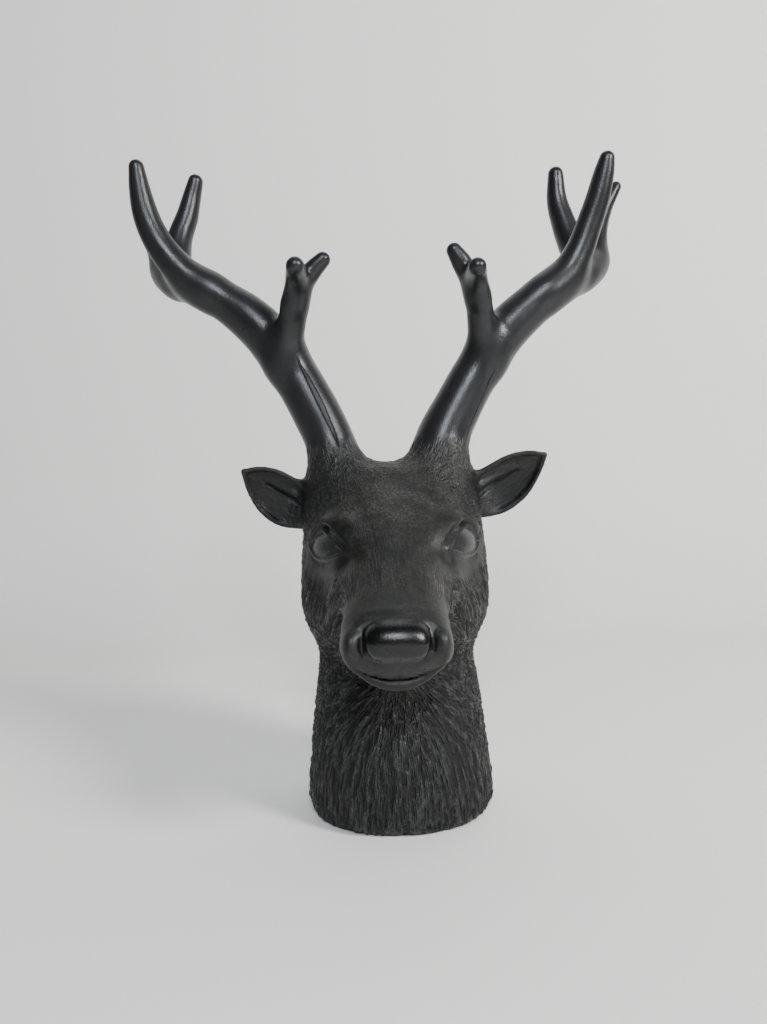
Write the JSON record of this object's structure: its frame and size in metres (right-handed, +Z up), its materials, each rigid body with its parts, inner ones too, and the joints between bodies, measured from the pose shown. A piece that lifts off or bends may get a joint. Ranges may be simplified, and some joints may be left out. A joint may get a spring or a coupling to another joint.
{
  "type": "deer head sculpture",
  "caption": "Cast bust of a deer with branching antlers, carved coat and leaf-shaped ears, standing on the flat underside of its neck.",
  "frame": {"origin": "centre of the flat underside of the neck", "axes": "+Z up, the nose towards -Y, +X towards the animal's left"},
  "size_m": [0.2537, 0.1466, 0.3082],
  "materials": {
    "deer_head": "near-black cast resin, matte on the carved coat and satin on the antlers"
  },
  "bodies": {
    "root": {"deer_head": "deer_head"}
  },
  "joints": []
}
